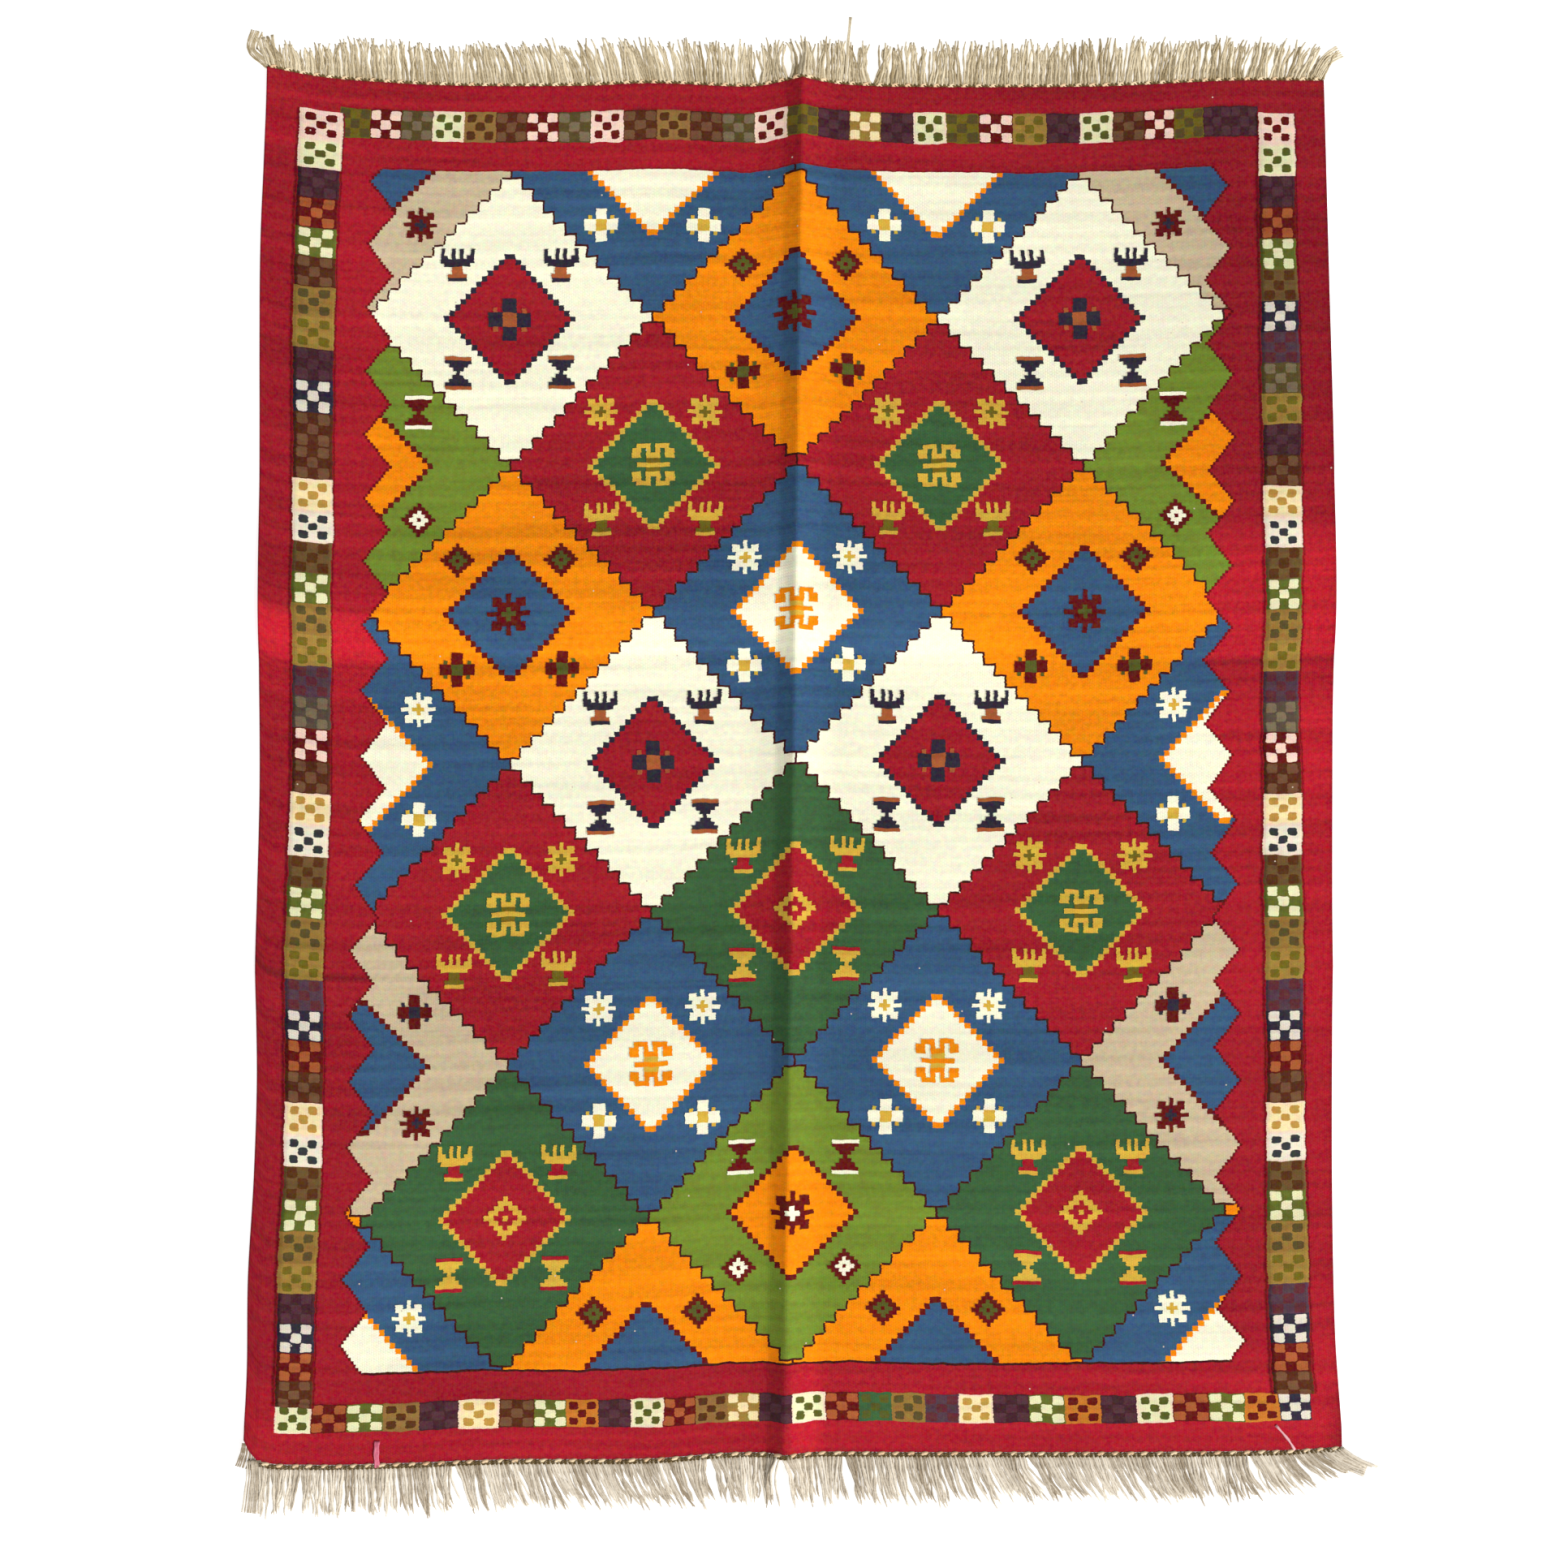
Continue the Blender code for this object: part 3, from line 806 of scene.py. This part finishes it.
def weave_height(u, v):
    """The relief of a weft-faced plain weave: picks of weft over ribs of warp."""
    warp, weft = 0.0026, 0.0013
    rib = (u / warp).zigzag(0.5) * 2.0
    turn = (u / warp).floor() * 0.5
    pick = (v / weft + turn).zigzag(0.5) * 2.0
    return rib * 0.25 + pick * 0.55


def kilim_material():
    material, tree, shader = blank_material("kilim wool")
    u, v = woven_place(tree)
    colour, raised, ground, shade = woven_colour(tree, u, v)
    height = weave_height(u, v)
    looks = {
        # The weave's hollows are painted slightly darker, as shade
        "Base Color": wear_and_painted_light(tree, u, v, colour, ground, shade * (height * 0.1 + 0.985)),
        "Roughness": height * -0.1 + 0.92,
        "Specular IOR Level": 0.06,
        "Sheen Weight": 0.015,
        "Sheen Roughness": 0.5,
    }
    feed_all(shader, looks)
    add_relief(shader, height + raised * 1.8, 0.8, 0.0007)
    return material


# -------- the cloth


def make_piece(name, places, faces, material):
    """A smooth mesh that rides on the rug's one body."""
    mesh = bpy.data.meshes.new(name)
    mesh.from_pydata(places, [], faces)
    mesh.update()
    mesh.shade_smooth()
    mesh.materials.append(material)
    made = link(name, mesh)
    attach(made, "root")
    return made


def grid_lines(half, step, finer=(0.0, 0.0)):
    """Places from -half to half, closer together at the rounded edges and between the finer pair."""
    edge = [0.0, 0.0004, 0.0012, 0.0024, 0.004, 0.0065]
    lines = [-half + place for place in edge]
    while lines[-1] < half - edge[-1] - step * 0.8:
        fine = finer[0] < lines[-1] < finer[1]
        lines.append(lines[-1] + (step / 3 if fine else step))
    if lines[-1] > half - edge[-1] - step * 0.3:
        lines.pop()
    return lines + [half - place for place in reversed(edge)]


def thickness_at(u, v):
    """Full inside, round at the edges, and a little fuller at the overcast sides."""
    from_side = CLOTH_WIDTH / 2 - abs(u)
    nearest = min(from_side, CLOTH_LENGTH / 2 - abs(v))
    share = min(nearest / 0.0016, 1.0)
    round_edge = math.sqrt(max(1 - (1 - share) ** 2, 0.0))
    overcast = 0.0007 * math.exp(-(((from_side - 0.0024) / 0.0018) ** 2))
    return (CLOTH_THICKNESS + overcast) * round_edge


def pinch(x, y):
    """The sharp crest on the lengthwise fold, higher towards the foot."""
    share = min(max(y / CLOTH_LENGTH + 0.5, 0.0), 1.0)
    away = x - (-0.014 + 0.022 * share)
    height = 0.0104 - 0.0036 * share
    width, power = (0.021, 1.2) if away < 0 else (0.036, 1.5)
    return height * (1 - min(abs(away) / width, 1.0)) ** power


def slack(x, y):
    """The cloth's shallow unevenness between its folds."""
    broad = noise.noise((x * 6.0, y * 6.0, 1.0)) * 0.0007
    small = noise.noise((x * 24.0, y * 17.0, 5.0)) * 0.00035
    return max(broad + small + 0.0003, 0.0)


def cloth_mesh(columns, rows):
    """Both faces of the sheet, which meet along its edges."""
    last_row, last_column = len(rows) - 1, len(columns) - 1
    places, woven, top, under = [], [], {}, {}
    for r, v in enumerate(rows):
        for c, u in enumerate(columns):
            x, y = laid(u, v)
            thick = thickness_at(u, v)
            middle = lift(x, y) + pinch(x, y) + slack(x, y) + CLOTH_THICKNESS / 2
            top[r, c] = under[r, c] = len(places)
            heights = [middle + thick / 2]
            if 0 < r < last_row and 0 < c < last_column:
                under[r, c] += 1
                heights.append(middle - thick / 2)
            places += [(x, y, height) for height in heights]
            woven += [(u, v)] * len(heights)
    faces = []
    for r in range(last_row):
        for c in range(last_column):
            square = ((r, c), (r, c + 1), (r + 1, c + 1), (r + 1, c))
            faces.append([top[corner] for corner in square])
            faces.append([under[corner] for corner in reversed(square)])
    return places, woven, faces


def add_maps(mesh, woven):
    """The woven places, and a flat map with the upper face large and the underside in a strip."""
    weave = mesh.uv_layers.new(name="weave")
    flat = mesh.uv_layers.new(name="OFBake")
    for polygon in mesh.polygons:
        is_top = polygon.normal.z > 0
        for loop in polygon.loop_indices:
            u, v = woven[mesh.loops[loop].vertex_index]
            weave.data[loop].uv = (u, v)
            across = u / CLOTH_WIDTH + 0.5
            along = 0.01 + 0.98 * (v / CLOTH_LENGTH + 0.5)
            start, width = (0.005, 0.77) if is_top else (0.785, 0.21)
            flat.data[loop].uv = (start + width * across, along)


def make_cloth():
    """The woven sheet, from selvedge to selvedge."""
    columns = grid_lines(CLOTH_WIDTH / 2, 0.0085, (-0.055, 0.065))
    rows = grid_lines(CLOTH_LENGTH / 2, 0.009)
    places, woven, faces = cloth_mesh(columns, rows)
    shift = [CAD_CLOTH[0][i] - min(place[i] for place in places) for i in range(2)]
    places = [(x + shift[0], y + shift[1], z) for x, y, z in places]
    cloth = make_piece("kilim_cloth", places, faces, kilim_material())
    add_maps(cloth.data, woven)
    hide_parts("kilim")
    return cloth, shift


# -------- the fringes


class Yarn:
    """A mesh of many yarns, each with a tone from 0 to 1 and its own place along and around."""

    def __init__(self):
        self.places, self.faces, self.tones, self.along = [], [], [], []

    def spin(self, path, radius, twist, tone, lobes=0.18, sides=8):
        """A two-ply yarn along a path: its section is two lobes that turn by twist at each step."""
        start = len(self.places)
        count = len(path)
        for k, point in enumerate(path):
            ahead = Vector(path[min(k + 1, count - 1)]) - Vector(path[max(k - 1, 0)])
            ahead.normalize()
            side = Vector((ahead.y, -ahead.x, 0.0))
            side.normalize()
            up = side.cross(ahead)
            size = radius[k] if isinstance(radius, list) else radius
            for s in range(sides):
                angle = 2 * math.pi * s / sides
                lobe = 1 - lobes + lobes * math.cos(2 * (angle - twist * k))
                place = Vector(point) + (side * math.cos(angle) + up * math.sin(angle)) * size * lobe
                self.places.append(tuple(place))
                self.tones.append(tone)
                self.along.append(k / (count - 1))
        for k in range(count - 1):
            for s in range(sides):
                near, far = start + k * sides, start + (k + 1) * sides
                after = (s + 1) % sides
                self.faces.append((near + s, near + after, far + after, far + s))
        self.faces.append(tuple(start + s for s in reversed(range(sides))))
        self.faces.append(tuple(start + (count - 1) * sides + s for s in range(sides)))

    def piece(self, name, material, shift):
        places = [(x + shift[0], y + shift[1], z) for x, y, z in self.places]
        made = make_piece(name, places, self.faces, material)
        for layer, values in (("tone", self.tones), ("along", self.along)):
            made.data.attributes.new(layer, "FLOAT", "POINT").data.foreach_set("value", values)
        return made


def attribute(tree, name):
    return Number(add_node(tree, "Attribute", {}, attribute_name=name).outputs["Fac"])


def yarn_material(dye, root=0.0):
    """Spun yarn: each strand has its own tone, with slubs and stains, and painted shade this strong at its
    root.
    """
    material, tree, shader = blank_material(dye)
    where = tree.nodes.new("ShaderNodeTexCoord").outputs["Object"]
    slubs = soft_noise(where, 420.0)
    stains = soft_noise(where, 30.0)
    tone = attribute(tree, "tone") + (slubs[0] - 0.5) * 0.7 + (stains[0] - 0.5) * 0.7
    # Painted shade: each yarn darker near its root, where the yarns crowd under the beads and cord
    tone = tone - attribute(tree, "along").rise(0.2, 0.0) * root
    colour = chosen(tone.larger(0.0).smaller(1.0), dye + ", worn", dye)
    feed_all(shader, {"Base Color": colour, "Roughness": 0.85, "Specular IOR Level": 0.2})
    add_relief(shader, slubs[1], 0.4, 0.0003)
    return material


def end_place(u, end, out):
    """A place this far out from the cloth's end, at the height of the cloth's underside there."""
    x, edge = laid(u, end * CLOTH_LENGTH / 2)
    settled = 1 - max(out - BAND_DEPTH, 0.0) / 0.04
    return x, edge + end * out, (lift(x, edge) + pinch(x, edge)) * max(settled, 0.0)


def parted(place, share, partings):
    """How far a yarn is pushed aside by the partings near it, at a share of its length."""
    push = 0.0
    for middle, width, meets_again in partings:
        away = place - middle
        opened = math.sin(share * math.pi) if meets_again else min(share * 2.5, 1.0)
        push += math.copysign(width, away) * math.exp(-((away / 0.016) ** 2)) * opened
    return push


def tassel(yarn, dice, knot, spacing, end, table, partings):
    """Four locks of three yarns from a knot, in three layers: they spread, cross and sink."""
    draw = dice.uniform
    length = table_value(table, knot, 1)
    lean = table_value(table, knot, 2) + draw(-0.05, 0.05)
    locks, in_lock, steps_along = 4, 3, 12
    for lock in range(locks):
        lock_lean, lock_tone = lean + draw(-0.09, 0.09), dice.random()
        lock_length, lock_bend = length * draw(0.92, 1.1), draw(-0.0022, 0.0022)
        for strand in range(in_lock):
            aside = (lock + (strand + draw(0.1, 0.9)) / in_lock) / locks - 0.5
            start = knot + aside * spacing
            own_lean = lock_lean + draw(-0.1, 0.1)
            reach = lock_length * draw(0.84, 1.08) / math.hypot(1.0, own_lean)
            phase, waves = draw(0, 2 * math.pi), draw(0.7, 1.8)
            swing = draw(0.0005, 0.0021)
            level = 0.0013 + 0.0008 * strand + draw(0.0, 0.0004)
            thick = draw(0.0014, 0.00165)
            path, radii = [], []
            for k in range(steps_along + 1):
                share = k / steps_along
                x, y, z = end_place(start, end, 0.0004 + share * reach)
                x += own_lean * share * reach * (0.6 + 0.4 * share) + parted(start, share, partings)
                x += lock_bend * share * share
                x += swing * math.sin(phase + 2 * math.pi * waves * share) * share
                radii.append(thick * (1 - 0.32 * share**4))
                z += level * (1 - 0.55 * share * share)
                path.append((x, y, max(z, radii[-1])))
            yarn.spin(path, radii, 0.95, 0.45 * lock_tone + draw(0.0, 0.72))


def bundle(yarn, dice, way, height, count, width, tones):
    """Loose yarns side by side along a way, sinking to the floor."""
    points = [(x, y, height * (1 - 0.7 * k / (len(way) - 1))) for k, (x, y) in enumerate(way)]
    for strand in range(count):
        aside = (strand + 0.5) / count - 0.5 + dice.uniform(-0.5, 0.5) / count
        path = []
        legs = len(points) - 1
        for k in range(legs * 5 + 1):
            leg = min(k // 5, legs - 1)
            share = k / 5 - leg
            near, far = Vector(points[leg]), Vector(points[leg + 1])
            before = Vector(points[max(leg - 1, 0)])
            after = Vector(points[min(leg + 2, legs)])
            place = between(near, far, (far - before) / 2, (after - near) / 2, share)
            heading = far - near
            across = Vector((heading.y, -heading.x, 0.0)).normalized()
            place += across * aside * width * (1 + 0.5 * k / (legs * 5))
            path.append((place.x, place.y, max(place.z, 0.0011)))
        yarn.spin(path, dice.uniform(0.001, 0.0012), 0.95, dice.uniform(*tones))


def beads(yarn, dice, start, end):
    """The small turns of pale cotton along the roots of the tassels."""
    count = round((CLOTH_WIDTH / 2 - start) / BEAD_PITCH)
    pitch = (CLOTH_WIDTH / 2 - start) / count
    for bead in range(count):
        path, radii = [], []
        centre = start + (bead + 0.5) * pitch + dice.uniform(-0.0008, 0.0008)
        length = dice.uniform(0.0092, 0.011)
        for k in range(9):
            share = k / 8
            x, y, z = end_place(centre + (share - 0.5) * length, end, 0.0011)
            path.append((x, y + 0.001 * (share - 0.5), z + 0.0023))
            radii.append(0.001 + 0.0017 * math.sin(share * math.pi) ** 0.6)
        yarn.spin(path, radii, twist=0.5, tone=dice.uniform(0.2, 1.0), lobes=0.1)


def twined(yarn, start, end, out, spacing):
    """Two dark yarns that are twined along the cloth's end."""
    coil, level, stride = 0.0008, 0.0028, 0.0016
    for ply in range(2):
        path = []
        u = start + 0.002
        while u < CLOTH_WIDTH / 2 - 0.001:
            turn = 4 * math.pi * u / spacing + ply * math.pi
            x, y, z = end_place(u, end, out)
            path.append((x, y + end * coil * math.cos(turn), z + level + coil * math.sin(turn)))
            u += stride
        yarn.spin(path, 0.0011, twist=0.4, tone=0.3 + 0.4 * ply, lobes=0.06, sides=6)


def make_fringe(name, end, start, table, partings, loose, cords, seed, shift, materials):
    """One end's tassels, the pale beads at their roots, and the cords twined along the end."""
    dice = random.Random(seed)
    spacing = (CLOTH_WIDTH / 2 - start) / TASSELS
    yarns, turns, cord = Yarn(), Yarn(), Yarn()
    for k in range(TASSELS):
        tassel(yarns, dice, start + (k + 0.5) * spacing, spacing, end, table, partings)
    for way in loose:
        bundle(yarns, dice, *way)
    beads(turns, dice, start, end)
    for out in cords:
        twined(cord, start, end, out, spacing)
    parts = zip(("yarns", "bead", "cord"), (yarns, turns, cord), materials)
    pieces = [made.piece(f"{name}_{part}", material, shift) for part, made, material in parts]
    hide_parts(name)
    return pieces


def make_threads(shift, material):
    """The loose ends that stick out of the cloth: where they run, how many, and their tone."""
    threads, thick = Yarn(), 0.0017
    runs = (
        (((-0.462, -0.755), (-0.4625, -0.769), (-0.4615, -0.7835)), 3, 0.15),
        (((0.537, -0.752), (0.55, -0.768), (0.557, -0.7795)), 1, 1.2),
    )
    for run, count, tone in runs:
        for strand in range(count):
            aside = (strand - (count - 1) / 2) * thick
            path = []
            for k in range(13):
                leg = min(k // 6, 1)
                (u, v), (next_u, next_v) = run[leg : leg + 2]
                share = k / 6 - leg
                x, y = laid(u + (next_u - u) * share + aside, v + (next_v - v) * share)
                height = lift(x, y) + slack(x, y) + CLOTH_THICKNESS + 0.0004
                path.append((x, y, height + 0.0012 * math.sin(k / 12 * math.pi)))
            threads.spin(path, thick, twist=0.6, tone=tone, lobes=0.2, sides=6)
    return threads.piece("loose_threads", material, shift)


make_camera()
floor = make_floor()
make_lights()
cloth, shift = make_cloth()
bead, cord = yarn_material("cream cotton"), yarn_material("dark cord")
head_end = (1, -CLOTH_WIDTH / 2, HEAD_FRINGE, HEAD_PARTINGS, HEAD_LOOSE, (0.0006,), 11)
foot_end = (-1, FOOT_START, FOOT_FRINGE, FOOT_PARTINGS, FOOT_LOOSE, (0.0016, 0.0038), 23)
head = make_fringe("fringe_head", *head_end, shift, (yarn_material("head yarn", 0.2), bead, cord))
foot = make_fringe("fringe_foot", *foot_end, shift, (yarn_material("foot yarn", 0.3), bead, cord))
threads = make_threads(shift, yarn_material("pink thread"))
